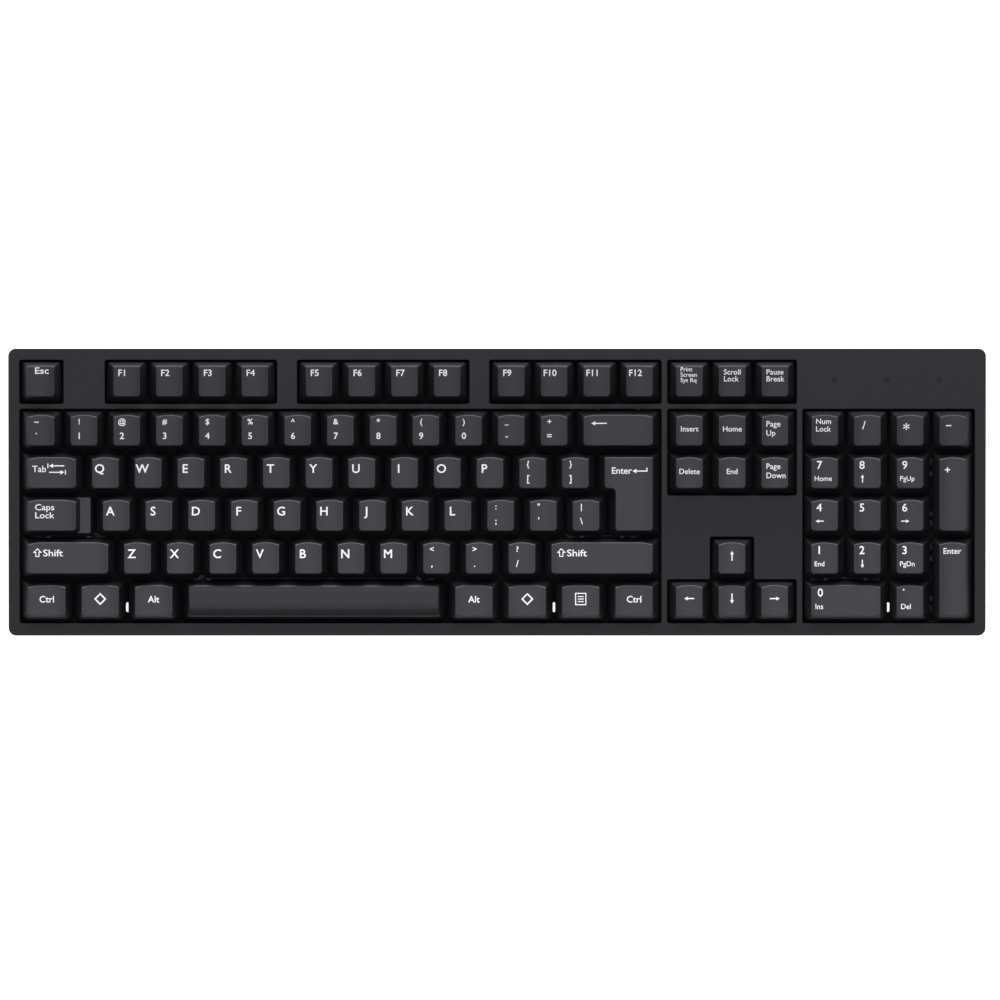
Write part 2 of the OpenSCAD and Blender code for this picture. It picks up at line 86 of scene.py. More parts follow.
KEYS = {
    "key_escape": run(1, 0, 5),
    "keys_f1_f4": run(4, 2, 5),
    "keys_f5_f8": run(4, 6.5, 5),
    "keys_f9_f12": run(4, 11, 5),
    "keys_print_scroll_pause": run(3, NAV, 5),
    "keys_number_row": run(13, 0, 4),
    "key_backspace": [(13, 4, 2, 1)],
    "key_tab": [(0, 3, 1.5, 1)],
    "keys_upper_letters": run(12, 1.5, 3),
    "key_caps_lock": [(0, 2, 1.75, 1)],
    "keys_home_letters": run(12, 1.75, 2),
    "key_enter": [(13.5, 2, 1.5, 2)],
    "key_left_shift": [(0, 1, 2.25, 1)],
    "keys_lower_letters": run(10, 2.25, 1),
    "key_right_shift": [(12.25, 1, 2.75, 1)],
    "key_left_control": [(0, 0, 1.25, 1)],
    "key_left_super": [(1.25, 0, 1.25, 1)],
    "key_left_alt": [(2.5, 0, 1.25, 1)],
    "key_space": [(3.75, 0, 6.25, 1)],
    "key_right_alt": [(10, 0, 1.25, 1)],
    "key_right_super": [(11.25, 0, 1.25, 1)],
    "key_menu": [(12.5, 0, 1.25, 1)],
    "key_right_control": [(13.75, 0, 1.25, 1)],
    "keys_insert_home_page_up": run(3, NAV, 4),
    "keys_delete_end_page_down": run(3, NAV, 3),
    "keys_arrows": run(3, NAV, 0) + run(1, NAV + 1, 1),
    "keys_pad_operators": run(4, PAD, 4),
    "keys_pad_7_8_9": run(3, PAD, 3),
    "keys_pad_4_5_6": run(3, PAD, 2),
    "keys_pad_1_2_3": run(3, PAD, 1),
    "key_pad_zero": [(PAD, 0, 2, 1)],
    "key_pad_point": run(1, PAD + 2, 0),
    "key_pad_plus": [(PAD + 3, 2, 1, 2)],
    "key_pad_enter": [(PAD + 3, 0, 1, 2)],
}
print("keys on the grid:", sum(len(k) for k in KEYS.values()))

# %% [markdown]
# ## Shader helpers
# A material is easier to read when its maths looks like maths. `Wire` wraps one socket, so `a * b`
# adds a Math node, and `Finish` adds any other node in one call.

# %% Shader classes
class Wire:
    def __init__(self, finish, socket):
        self.finish, self.socket = finish, socket

    def maths(self, kind, other, swap=False):
        pair = (other, self) if swap else (self, other)
        return self.finish.node("ShaderNodeMath", {"operation": kind}, {0: pair[0], 1: pair[1]})

    def __add__(self, other):
        return self.maths("ADD", other)

    def __mul__(self, other):
        return self.maths("MULTIPLY", other)

    def __sub__(self, other):
        return self.maths("SUBTRACT", other)

    def __rsub__(self, other):
        return self.maths("SUBTRACT", other, swap=True)

    __radd__, __rmul__ = __add__, __mul__


class Finish:
    """One material and its node tree."""

    def __init__(self, name):
        self.material = bpy.data.materials.new(name)
        self.material.use_nodes = True
        self.tree = self.material.node_tree
        self.shader = self.tree.nodes["Principled BSDF"]

    def node(self, kind, settings, inputs, output=0):
        n = self.tree.nodes.new(kind)
        for key, value in settings.items():
            setattr(n, key, value)
        for key, value in inputs.items():
            self.put(n.inputs[key], value)
        return Wire(self, n.outputs[output])

    def put(self, socket, value):
        if isinstance(value, Wire):
            self.tree.links.new(value.socket, socket)
        else:
            socket.default_value = value

    def set(self, **values):
        for key, value in values.items():
            self.put(self.shader.inputs[key.replace("_", " ")], value)

    def noise(self, scale, detail=2.0):
        place = self.node("ShaderNodeTexCoord", {}, {}, "Object")
        return self.node("ShaderNodeTexNoise", {}, {"Vector": place, "Scale": scale, "Detail": detail})

    def blend(self, amount, first, second):
        return self.node("ShaderNodeMix", {"data_type": "RGBA"}, {0: amount, 6: first, 7: second}, 2)

    def bump(self, height, strength, distance):
        return self.node("ShaderNodeBump", {},
                         {"Height": height, "Strength": strength, "Distance": distance})


def grey(v, blue=1.0):
    return (v, v, v * blue, 1)


# %% [markdown]
# ## Moulded plastic
# Keycaps and housings are near-black plastic with a fine spark-eroded grain. The grain is a bump far
# below a tenth of a millimetre, the colour drifts a little from place to place, and the sheen
# changes with it, as fingers polish some places more than others.

# %% Plastic finishes
def moulded(name, dark, light, rough, grain=2600.0, deep=0.12, shine=0.5):
    f = Finish(name)
    drift = f.noise(9.0, 3.0)
    fine = f.noise(grain, 2.0)
    f.set(Base_Color=f.blend(drift, dark, light),
          Roughness=rough + (drift - 0.5) * 0.10 + (fine - 0.5) * 0.08,
          Normal=f.bump(fine, deep, 0.00012), Specular_IOR_Level=shine)
    return f.material


cap_finish = moulded("keycap_plastic", (0.0075, 0.0074, 0.0088, 1), (0.0110, 0.0108, 0.0126, 1), 0.46)
bar_finish = moulded("space_bar_plastic", (0.0065, 0.0068, 0.0080, 1), (0.0095, 0.0098, 0.0112, 1), 0.40,
                     shine=0.34)
body_finish = moulded("case_plastic", (0.0070, 0.0070, 0.0080, 1), (0.0100, 0.0100, 0.0110, 1), 0.50,
                      shine=0.26)
switch_finish = moulded("switch_plastic", grey(0.006), grey(0.010), 0.42, 1800.0)
rubber_finish = moulded("foot_rubber", grey(0.010), grey(0.020), 0.75, 900.0, 0.3)
chip_finish = moulded("chip_resin", grey(0.012), grey(0.018), 0.5, 3000.0)
print("plastic finishes:", len(bpy.data.materials))

# %% [markdown]
# ## Metals, board, lamps and ink
# The plate is painted steel, the springs, wires and socket are bare steel with a faint draw grain,
# and the contacts are brass. The legends are one thin layer of white ink.

# %% Metal finishes
def metal(name, colour, rough, stretch=(1, 1, 40)):
    f = Finish(name)
    place = f.node("ShaderNodeTexCoord", {}, {}, "Object")
    along = f.node("ShaderNodeMapping", {}, {"Vector": place, "Scale": stretch})
    drawn = f.node("ShaderNodeTexNoise", {}, {"Vector": along, "Scale": 160.0, "Detail": 3.0})
    worn = tuple(c * 0.7 for c in colour[:3]) + (1,)
    f.set(Metallic=1.0, Base_Color=f.blend(drawn, colour, worn),
          Roughness=rough + (drawn - 0.5) * 0.16, Normal=f.bump(drawn, 0.1, 0.0001))
    return f.material


steel_finish = metal("wire_steel", (0.030, 0.030, 0.032, 1), 0.45)
socket_finish = metal("socket_steel", (0.52, 0.52, 0.54, 1), 0.28)
screw_finish = metal("screw_steel", (0.16, 0.16, 0.165, 1), 0.42)
brass_finish = metal("contact_brass", (0.72, 0.55, 0.26, 1), 0.32)

# %% Paint, board, lamps and ink
def painted(name, dark, light, rough, scale=400.0, shine=0.5):
    f = Finish(name)
    skin = f.noise(scale, 3.0)
    f.set(Base_Color=f.blend(skin, dark, light), Roughness=rough + (skin - 0.5) * 0.12,
          Normal=f.bump(skin, 0.15, 0.0001), Specular_IOR_Level=shine)
    return f.material


plate_finish = painted("plate_paint", grey(0.004), grey(0.007), 0.6, shine=0.12)
board_finish = painted("board_laminate", (0.010, 0.050, 0.022, 1), (0.016, 0.075, 0.034, 1), 0.35)
lamp_finish = painted("lamp_resin", grey(0.60), grey(0.75), 0.25)
lens_finish = painted("lens_smoke", grey(0.004), grey(0.008), 0.3, 200.0, shine=0.15)
ink_finish = painted("legend_ink", grey(0.80), grey(0.90), 0.55, 1500.0)

# %% Give the CAD nodes their finishes
BY_NODE = {
    "mounting_plate": plate_finish, "circuit_board": board_finish, "switch_bases": switch_finish,
    "switch_covers": switch_finish, "switch_springs": steel_finish, "switch_contacts": brass_finish,
    "stabiliser_housings": switch_finish, "usb_socket": socket_finish,
    "controller_chip": chip_finish, "indicator_leds": lamp_finish,
    "indicator_lenses": lens_finish, "rubber_feet": rubber_finish, "case_screws": screw_finish,
}


def dress(obj, material):
    if not obj.material_slots:
        obj.data.materials.append(material)
    for s in obj.material_slots:
        s.material = material


for name, obj in nodes.items():
    dress(obj, BY_NODE.get(name, steel_finish if name.endswith("_wire") else body_finish))
print("dressed", len(nodes), "CAD nodes")

# %% [markdown]
# ## A keycap
# A keycap is a hollow frustum whose top is a shallow trough. It is made from the outline of its
# skirt: the outline becomes a prism, its upright corners are rounded, and planes cut it into strips
# where the trough will bend. Then every point moves by one rule: the higher it lies, the further it
# leans in, and points of the top also drop onto the trough. Last, the rim is rounded.

# %% How the sides lean and how the top curves
CAP_GAP, CAP_WALL, CAP_ROOM = 1.05, 1.3, 5.6
SIDE, FRONT, REAR = 3.0, 2.6, 1.4
DISH = 0.8
REAR_CORNER = 0.9
TROUGH_R = ((UNIT / 2 - CAP_GAP / 2 - SIDE) ** 2 + DISH**2) / 2 / DISH


def is_caps(k):
    return k[:2] == (0, 2)


def is_enter(k):
    return k[:2] == (13.5, 2)


def is_space(k):
    return k[2] > 6


def stem(k):
    c = 0.625 if is_caps(k) else 14.375 if is_enter(k) else k[0] + k[2] / 2
    return col(c), row(k[1]) + (k[3] - 1) * UNIT / 2


def top_height(k):
    return 8.8 if k[3] == 2 else TOP_H[k[1]]


def top_lean(k):
    return math.radians((-4 if k[1] == 0 else 1.5) if k[3] == 2 else TOP_LEAN[k[1]])


class Top:
    """Height of a keycap's top surface over its skirt, at a place on the key."""

    def __init__(self, cell, height, lean, crowned=False, arch=0.0):
        self.arch = arch
        self.mid = (cell[0] + cell[1]) / 2
        self.flat = max(cell[1] - cell[0] - UNIT, 0) / 2
        self.y = (cell[2] + cell[3] + FRONT - REAR) / 2
        self.height, self.lean, self.crowned = height, lean, crowned

    def at(self, x, y):
        if self.crowned:
            return self.height - 17 + math.sqrt(17**2 - y * y)
        off = max(abs(x - self.mid) - self.flat, 0)
        rise = TROUGH_R - math.sqrt(TROUGH_R**2 - off * off)
        return self.height + math.tan(self.lean) * (y - self.y) + rise / math.cos(self.lean)

    def bends(self):
        """Where the trough needs a strip edge: every 1.2 mm of its two curved ends."""
        ends = [self.flat + 1.2 * i for i in range(5)]
        return sorted({self.mid + side * e for e in ends for side in (-1, 1)})

    def bow(self, x):
        """How far the rear edge of the top draws in towards its corners."""
        return self.arch * (max(abs(x - self.mid) - self.flat, 0) / 6) ** 2


def shift(value, stops):
    """Moves a value by an amount that runs straight between stops of (place, amount)."""
    for (a, da), (b, db) in zip(stops, stops[1:]):
        if value <= b or b == stops[-1][0]:
            t = min(max((value - a) / (b - a), 0), 1)
            return value + da + (db - da) * t
    return value


# %% Build one keycap
def solid_outline(points, height):
    """A prism over an outline, from z = 0 up."""
    bm = bmesh.new()
    bm.faces.new([bm.verts.new((x, y, 0)) for x, y in points])
    up = bmesh.ops.extrude_face_region(bm, geom=list(bm.faces))
    lifted = [v for v in up["geom"] if isinstance(v, bmesh.types.BMVert)]
    bmesh.ops.translate(bm, vec=(0, 0, height), verts=lifted)
    bmesh.ops.recalc_face_normals(bm, faces=bm.faces)
    return bm


def before_shift(target, stops):
    """The value that `shift` would move to the target."""
    low, high = stops[0][0], stops[-1][0]
    for _ in range(30):
        middle = (low + high) / 2
        low, high = (middle, high) if shift(middle, stops) < target else (low, middle)
    return low


def cut(bm, axis, places):
    for p in places:
        spot, normal = [0, 0, 0], [0, 0, 0]
        spot[axis], normal[axis] = p, 1
        bmesh.ops.bisect_plane(bm, geom=bm.verts[:] + bm.edges[:] + bm.faces[:],
                               plane_co=spot, plane_no=normal)


def cap(points, corner, xs, ys, top, bends=(), cuts_y=(), rim=0.55):
    """One keycap: outline of its skirt, corner radius, stops of the lean in x and y, top surface.
    The two rear corners are kept crisper than the rest."""
    tall = top.height + (0 if top.crowned else DISH)
    bm = solid_outline(points, 1.0)
    upright = [e for e in bm.edges if abs(e.verts[0].co.z - e.verts[1].co.z) > 0.5]
    last = max(v.co.y for v in bm.verts) - 0.1
    rear = [e for e in upright if e.verts[0].co.y > last]
    for edges, radius in ((rear, min(corner, REAR_CORNER)), ([e for e in upright if e not in rear], corner)):
        bmesh.ops.bevel(bm, geom=edges, offset=radius, segments=4, affect="EDGES", profile=0.5,
                        material=-1)
    cut(bm, 0, [before_shift(x, xs) for x in bends])
    cut(bm, 1, cuts_y)
    under = [f for f in bm.faces if f.normal.z < -0.5]
    bmesh.ops.inset_region(bm, faces=under, thickness=CAP_WALL, use_even_offset=True)
    grown = bmesh.ops.extrude_face_region(bm, geom=under)
    bmesh.ops.delete(bm, geom=under, context="FACES")
    roof = {v for v in grown["geom"] if isinstance(v, bmesh.types.BMVert)}
    for v in bm.verts:
        share = 1.0 if v.co.z > 0.5 else CAP_ROOM / tall if v in roof else 0.0
        high = v.co.z > 0.5
        v.co.x = shift(v.co.x, [(a, d * share) for a, d in xs])
        inward = [(a, (d - (top.bow(v.co.x) if d < 0 and high else 0)) * share) for a, d in ys]
        v.co.y = shift(v.co.y, inward)
        v.co.z = top.at(v.co.x, v.co.y) if high else CAP_ROOM if v in roof else 0.0
    bm.normal_update()
    rim_edges = [e for e in bm.edges if len(e.link_faces) == 2
                 and min(v.co.z for v in e.verts) > CAP_ROOM + 0.3
                 and sorted(f.normal.z > 0.7 for f in e.link_faces) == [False, True]]
    if rim:
        bmesh.ops.bevel(bm, geom=rim_edges, offset=rim, segments=3, affect="EDGES", profile=0.5,
                        material=-1)
    return bm


def ladder(low, high, n):
    return [low + (high - low) * (i + 1) / (n + 1) for i in range(n)]


# %% [markdown]
# ## Four kinds of cap
# Most keys share one recipe and differ only in their cell. The stepped Caps Lock is a raised cap
# with a low ledge beside it. The big Enter starts from an L-shaped outline, and its stops give the
# inner corner the same lean as the sides. The space bar is crowned from front to rear instead.

# %% Caps for every kind of key
LEDGE_TOP, LEDGE_ROOM = 4.2, 2.9


def skirt(cell):
    g = CAP_GAP / 2
    return cell[0] + g, cell[1] - g, cell[2] + g, cell[3] - g


def rectangle(cell):
    a, b, c, d = skirt(cell)
    return [(a, c), (b, c), (b, d), (a, d)]


def stops(cell):
    a, b, c, d = skirt(cell)
    return [(a, SIDE), (b, -SIDE)], [(c, FRONT), (d, -REAR)]


def plain_cap(k, cell, corner=2.3):
    top = Top(cell, top_height(k), top_lean(k), arch=0.2 if k[1] == 5 else 1.1)
    xs, ys = stops(cell)
    return [cap(rectangle(cell), corner, xs, ys, top, top.bends())]


def stepped_cap(k):
    left = -0.625 * UNIT
    raised = (left, left + 1.5 * UNIT, -UNIT / 2, UNIT / 2)
    ledge = (left + 1.25 * UNIT, left + 1.75 * UNIT, -UNIT / 2, UNIT / 2)
    low = Top(ledge, LEDGE_TOP, 0)
    low.at = lambda x, y: LEDGE_TOP
    a, b, c, d = skirt(ledge)
    step = cap(rectangle(ledge), 1.2, [(a, 0), (b, -1.3)], [(c, 1.2), (d, -0.7)], low, rim=0)
    for v in step.verts:
        if abs(v.co.z - CAP_ROOM) < 0.01:
            v.co.z = LEDGE_ROOM
    high = [e for e in step.edges if len(e.link_faces) == 2 and min(v.co.z for v in e.verts) > LEDGE_ROOM + 1]
    edges = [e for e in high if sorted(f.normal.z > 0.7 for f in e.link_faces) == [False, True]]
    bmesh.ops.bevel(step, geom=edges, offset=0.4, segments=3, affect="EDGES", profile=0.5, material=-1)
    return plain_cap(k, raised) + [step]


def enter_cap(k):
    right = 0.625 * UNIT
    wide = right - 1.5 * UNIT
    g = CAP_GAP / 2
    outline = [(-right + g, -UNIT + g), (right - g, -UNIT + g), (right - g, UNIT - g),
               (wide + g, UNIT - g), (wide + g, g), (-right + g, g)]
    xs = [(wide + g, SIDE), (-right + g, SIDE), (right - g, -SIDE)]
    ys = [(-UNIT + g, FRONT), (g, FRONT), (UNIT - g, -REAR)]
    cell = (wide, right, -UNIT, UNIT)
    top = Top(cell, top_height(k), top_lean(k))
    return [cap(outline, 1.7, xs, ys, top, top.bends())]


def space_cap(k):
    w = k[2] * UNIT / 2
    cell = (-w, w, -UNIT / 2, UNIT / 2)
    top = Top(cell, top_height(k), 0, crowned=True)
    xs, ys = stops(cell)
    return [cap(rectangle(cell), 1.6, xs, ys, top, cuts_y=ladder(-6.6, 7.4, 9), rim=0.9)]


def caps_for(k):
    w, d = k[2] * UNIT / 2, k[3] * UNIT / 2
    if is_caps(k):
        return stepped_cap(k)
    if is_enter(k):
        return enter_cap(k)
    return space_cap(k) if is_space(k) else plain_cap(k, (-w, w, -d, d))


# %% [markdown]
# ## Joining pieces
# `gather` copies one bmesh into another at a given place. `islands` finds the separate solids of a
# CAD mesh after its doubled points are merged, which is how the sliders are kept from a key's node.

# %% Gather, islands and objects
def gather(target, source, place, finish=0):
    bmesh.ops.transform(source, matrix=place, verts=source.verts)
    for f in source.faces:
        f.material_index = finish
    part = bpy.data.meshes.new("part")
    source.to_mesh(part)
    source.free()
    target.from_mesh(part)
    bpy.data.meshes.remove(part)


def merged_copy(name):
    bm = bmesh.new()
    bm.from_mesh(nodes[name].data)
    bmesh.ops.remove_doubles(bm, verts=bm.verts, dist=2e-6)
    return bm


def islands(bm):
    left, groups = set(bm.verts), []
    while left:
        edge, group = [left.pop()], []
        while edge:
            v = edge.pop()
            group.append(v)
            for e in v.link_edges:
                o = e.other_vert(v)
                if o in left:
                    left.remove(o)
                    edge.append(o)
        groups.append(group)
    return groups


def even_normals(bm):
    """A shading normal for every face corner: the mean of the faces round it that turn less than
    50 degrees away, each weighted by its area. Large flat faces keep their own normal, so only the
    narrow faces of a rounded edge carry the turn."""
    bm.normal_update()
    weighed = {f: f.normal * max(f.calc_area(), 1e-12) for f in bm.faces}
    normals = []
    for f in bm.faces:
        for loop in f.loops:
            near = [weighed[g] for g in loop.vert.link_faces if g.normal.dot(f.normal) > 0.643]
            total = sum(near, Vector())
            normals.append(total.normalized() if total.length > 0 else f.normal.copy())
    return normals


def finished(bm, name, body, materials, replaced=()):
    mesh = bpy.data.meshes.new(name)
    for f in bm.faces:
        f.smooth = True
    normals = even_normals(bm)
    bm.to_mesh(mesh)
    bm.free()
    mesh.normals_split_custom_set(normals)
    for m in materials:
        mesh.materials.append(m)
    obj = bpy.data.objects.new(name, mesh)
    bpy.context.scene.collection.objects.link(obj)
    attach(obj, body)
    if replaced:
        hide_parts(*replaced)
    return obj


# %% Put the caps and their sliders on every key node
PIN_TOP = 10.4
flatten = DECK.inverted()
made = 0
for name, keys in KEYS.items():
    bm = bmesh.new()
    for k in keys:
        x, y = stem(k)
        for piece in caps_for(k):
            gather(bm, piece, DECK @ Matrix.Translation((x, y, SKIRT)))
            made += 1
    sliders = merged_copy(name)
    tall = [v for g in islands(sliders) if max((flatten @ v.co).z for v in g) > PIN_TOP for v in g]
    bmesh.ops.delete(sliders, geom=tall, context="VERTS")
    gather(bm, sliders, Matrix.Identity(4), finish=1)
    finish = bar_finish if name == "key_space" else cap_finish
    finished(bm, name + "_caps", name, [finish, switch_finish], [name])
print("caps built:", made)

# %% [markdown]
# ## Legends
# Each legend is a layer of ink a few hundredths of a millimetre thick. Text and signs are drawn flat,
# turned into a mesh, and then every point is dropped onto the trough of its own key, so the ink
# follows the curve. Signs such as arrows are outlines of a few points.

# %% Draw text and signs flat
INK, LIFT = 0.03, 0.04


def text(words, height, bold=0.0, align="CENTER", wide=1.0):
    curve = bpy.data.curves.new("words", "FONT")
    curve.body, curve.size, curve.align_x = words, height / 0.729, align
    narrow = bool(set(words) & set("M4"))
    curve.offset, curve.extrude, curve.resolution_u = 0 if narrow else bold, INK, 3
    holder = bpy.data.objects.new("words", curve)
    bpy.context.scene.collection.objects.link(holder)
    bpy.context.view_layer.update()
    mesh = bpy.data.meshes.new_from_object(holder.evaluated_get(bpy.context.evaluated_depsgraph_get()))
    bm = bmesh.new()
    bm.from_mesh(mesh)
    if narrow:  # the corners of M and 4 close up when thickened, so they are drawn twice instead
        bmesh.ops.translate(bm, vec=(-bold, 0, 0), verts=bm.verts)
        first = set(bm.verts)
        bm.from_mesh(mesh)
        bmesh.ops.translate(bm, vec=(bold, 0, 0.004), verts=[v for v in bm.verts if v not in first])
    bmesh.ops.scale(bm, vec=(wide, 1, 1), verts=bm.verts)
    bpy.data.objects.remove(holder)
    bpy.data.curves.remove(curve)
    bpy.data.meshes.remove(mesh)
    return bm


def sign(points, hollow=0.0):
    bm = solid_outline(points, 2 * INK)
    if hollow:
        flats = [f for f in bm.faces if abs(f.normal.z) > 0.5]
        bmesh.ops.inset_region(bm, faces=flats, thickness=hollow, use_even_offset=True)
        bmesh.ops.delete(bm, geom=flats, context="FACES")
        bmesh.ops.bridge_loops(bm, edges=[e for e in bm.edges if e.is_boundary])
    bmesh.ops.translate(bm, vec=(0, 0, -INK), verts=bm.verts)
    bmesh.ops.triangulate(bm, faces=bm.faces)
    return bm


def arrow(length, head, width, turn=0):
    """A solid arrow that points left before its turn."""
    a, b = -length / 2, -length / 2 + head
    pts = [(a, 0), (b, -head * 0.55), (b, -width / 2), (length / 2, -width / 2),
           (length / 2, width / 2), (b, width / 2), (b, head * 0.55)]
    t = math.radians(turn)
    return sign([(x * math.cos(t) - y * math.sin(t), x * math.sin(t) + y * math.cos(t)) for x, y in pts])


def bar(w, h):
    return sign([(-w / 2, -h / 2), (w / 2, -h / 2), (w / 2, h / 2), (-w / 2, h / 2)])


# %% What stands on each key: (drawing, x, y) from the middle of the key
def centred(words, height, x, y, bold=0.0, wide=1.0):
    """One line of text, its capitals centred on (x, y)."""
    return lambda: text(words, height, bold, wide=wide), x, y - height / 2


def from_left(words, height, x, y, bold=0.02, wide=1.0):
    return lambda: text(words, height, bold, "LEFT", wide), x, y - height / 2


def at(drawing, x, y):
    return drawing, x, y


def lines(words, height, x, y, pitch, wide=1.0):
    return [from_left(w, height, x, y - i * pitch, wide=wide) for i, w in enumerate(words)]


def pairs(upper, lower):
    return [[centred(a, 2.6, -2.1, 4.7, 0.05), centred(b, 3.0, -2.1, -1.7, 0.05)]
            for a, b in zip(upper, lower)]


def letters(word):
    return [[centred(c, 4.0, -2.6, 2.7, 0.07)] for c in word]


def functions(first, last):
    return [[centred(f"F{i}", 3.0, -1.9, 4.6, 0.05)] for i in range(first, last + 1)]


def pad_key(digit, label):
    first = [centred(digit, 3.7, -2.4, 4.3, 0.05)]
    if callable(label):
        return first + [at(label, -2.2, -1.9)]
    return first + ([from_left(label, 2.3, -4.7, -1.8)] if label else [])


def hollow_arrow():
    s = 2.0
    return sign([(0, s), (-s, 0), (-s * 0.45, 0), (-s * 0.45, -s * 0.9), (s * 0.45, -s * 0.9),
                 (s * 0.45, 0), (s, 0)], 0.36)


def diamond():
    return sign([(0, 2.7), (-2.7, 0), (0, -2.7), (2.7, 0)], 0.6)


def frame_sign():
    return sign([(-2.5, -2.7), (2.5, -2.7), (2.5, 2.7), (-2.5, 2.7)], 0.42)


def hook():
    return sign([(-2.4, -0.25), (2.4, -0.25), (2.4, 1.5), (1.9, 1.5), (1.9, 0.25), (-2.4, 0.25)])


def short_arrow(turn):
    return lambda: arrow(3.6, 1.4, 0.45, turn)


LEGENDS = {
    "key_escape": [[centred("Esc", 3.0, 0.3, 5.6, 0.05, 1.2)]],
    "keys_f1_f4": functions(1, 4),
    "keys_f5_f8": functions(5, 8),
    "keys_f9_f12": functions(9, 12),
    "keys_print_scroll_pause": [lines(["Print", "Screen", "Sys Rq"], 2.0, -4.1, 6.2, 2.45),
                                lines(["Scroll", "Lock"], 2.5, -3.9, 5.0, 3.1),
                                lines(["Pause", "Break"], 2.5, -4.0, 5.0, 3.1)],
    "keys_number_row": pairs("~!@#$%^&*()_+", "`1234567890-="),
    "keys_upper_letters": letters("QWERTYUIOP") + pairs("{}", "[]"),
    "keys_home_letters": letters("ASDFGHJKL") + pairs(":\"|", ";'\\"),
    "keys_lower_letters": letters("ZXCVBNM") + pairs("<>?", ",./"),
    "key_backspace": [[at(lambda: arrow(6.9, 1.7, 0.5), -8.5, 3.8)]],
    "key_tab": [[from_left("Tab", 3.0, -8.8, 2.5),
                 at(lambda: arrow(6.8, 1.8, 0.5), 2.1, 3.8), at(lambda: bar(0.45, 2.0), -1.8, 3.8),
                 at(lambda: arrow(6.8, 1.8, 0.5, 180), 2.1, 0.9),
                 at(lambda: bar(0.45, 2.0), 6.0, 0.9)]],
    "key_caps_lock": [lines(["Caps", "Lock"], 2.8, -5.4, 4.4, 3.6, 1.15)],
    "key_enter": [[from_left("Enter", 3.0, -10.2, 11.3, 0.04), at(hook, 3.5, 11.0),
                   at(lambda: arrow(2.4, 1.8, 0.5), 0.4, 11.0)]],
    "key_left_shift": [[at(hollow_arrow, -13.7, 3.0), from_left("Shift", 3.1, -11.3, 3.0, 0.03, 1.2)]],
    "key_right_shift": [[at(hollow_arrow, -18.2, 3.0), from_left("Shift", 3.1, -15.8, 3.0, 0.03, 1.2)]],
    "key_left_control": [[centred("Ctrl", 3.0, 0.0, 1.4, 0.04)]],
    "key_left_super": [[at(diamond, 0.0, 1.4)]],
    "key_left_alt": [[centred("Alt", 3.0, 0.0, 1.4, 0.04)]],
    "key_right_alt": [[centred("Alt", 3.0, 0.0, 1.4, 0.04)]],
    "key_right_super": [[at(diamond, 0.0, 1.4)]],
    "key_menu": [[at(frame_sign, 0.0, 1.4)] + [at(lambda: bar(2.6, 0.4), 0.0, 1.4 + i)
                                               for i in (-1.1, 0, 1.1)]],
    "key_right_control": [[centred("Ctrl", 3.0, 0.0, 1.4, 0.04)]],
    "keys_insert_home_page_up": [[centred("Insert", 2.5, 0, 1.4, 0.02)],
                                 [centred("Home", 2.5, 0, 1.4, 0.02)],
                                 lines(["Page", "Up"], 2.6, -4.0, 3.7, 4.1)],
    "keys_delete_end_page_down": [[centred("Delete", 2.5, 0, 1.4, 0.02)],
                                  [centred("End", 2.5, 0, 1.4, 0.02)],
                                  lines(["Page", "Down"], 2.6, -4.0, 3.7, 4.1)],
    "keys_arrows": [[at(lambda t=t: arrow(4.4, 1.5, 0.5, t), 0, 1.6)] for t in (0, 90, 180, -90)],
    "keys_pad_operators": [lines(["Num", "Lock"], 2.5, -4.1, 4.8, 3.4),
                           [centred("/", 3.8, -1.6, 3.1, 0.04)],
                           [centred("*", 5.0, -1.8, 1.4, 0.04)], [at(lambda: bar(2.4, 0.5), -2.0, 2.8)]],
    "keys_pad_7_8_9": [pad_key("7", "Home"), pad_key("8", short_arrow(-90)), pad_key("9", "PgUp")],
    "keys_pad_4_5_6": [pad_key("4", short_arrow(0)), pad_key("5", ""), pad_key("6", short_arrow(180))],
    "keys_pad_1_2_3": [pad_key("1", "End"), pad_key("2", short_arrow(90)), pad_key("3", "PgDn")],
    "key_pad_zero": [[centred("0", 3.7, -11.4, 4.4, 0.05), from_left("Ins", 2.4, -13.8, -1.8)]],
    "key_pad_point": [[centred(".", 3.4, -2.8, 7.0, 0.08), from_left("Del", 2.4, -4.2, -1.8)]],
    "key_pad_plus": [[centred("+", 3.4, -2.4, 11.6, 0.05)]],
    "key_pad_enter": [[from_left("Enter", 2.7, -4.4, 13.4)]],
}

# %% Drop the ink onto the caps
def top_of(k):
    w, d = k[2] * UNIT / 2, k[3] * UNIT / 2
    if is_caps(k):
        cell = (-0.625 * UNIT, 0.875 * UNIT, -UNIT / 2, UNIT / 2)
    elif is_enter(k):
        cell = (-0.875 * UNIT, 0.625 * UNIT, -UNIT, UNIT)
    else:
        cell = (-w, w, -d, d)
    return Top(cell, top_height(k), top_lean(k))


marks = 0
for name, legends in LEGENDS.items():
    bm = bmesh.new()
    for k, drawings in zip(KEYS[name], legends):
        sx, sy = stem(k)
        surface = top_of(k)
        for draw, x, y in drawings:
            one = draw()
            bmesh.ops.remove_doubles(one, verts=one.verts, dist=1e-4)
            cut(one, 0, [0.7 * i for i in range(-6, 7)])
            for v in one.verts:
                v.co.x, v.co.y = v.co.x + x, v.co.y + y
                v.co.z += surface.at(v.co.x, v.co.y) + LIFT
            gather(bm, one, DECK @ Matrix.Translation((sx, sy, SKIRT)))
            marks += 1
    if bm.verts:
        finished(bm, name + "_legends", name, [ink_finish])
print("marks printed:", marks)

# %% [markdown]
# ## The two halves of the body
# Each half is a copy of its CAD solid. The copy's flat faces are joined up again, the upright
# corners of the windows get a small radius, and then the long outer edges are rounded, because a
# moulded edge is never sharp. A rounded edge is also what catches the light.

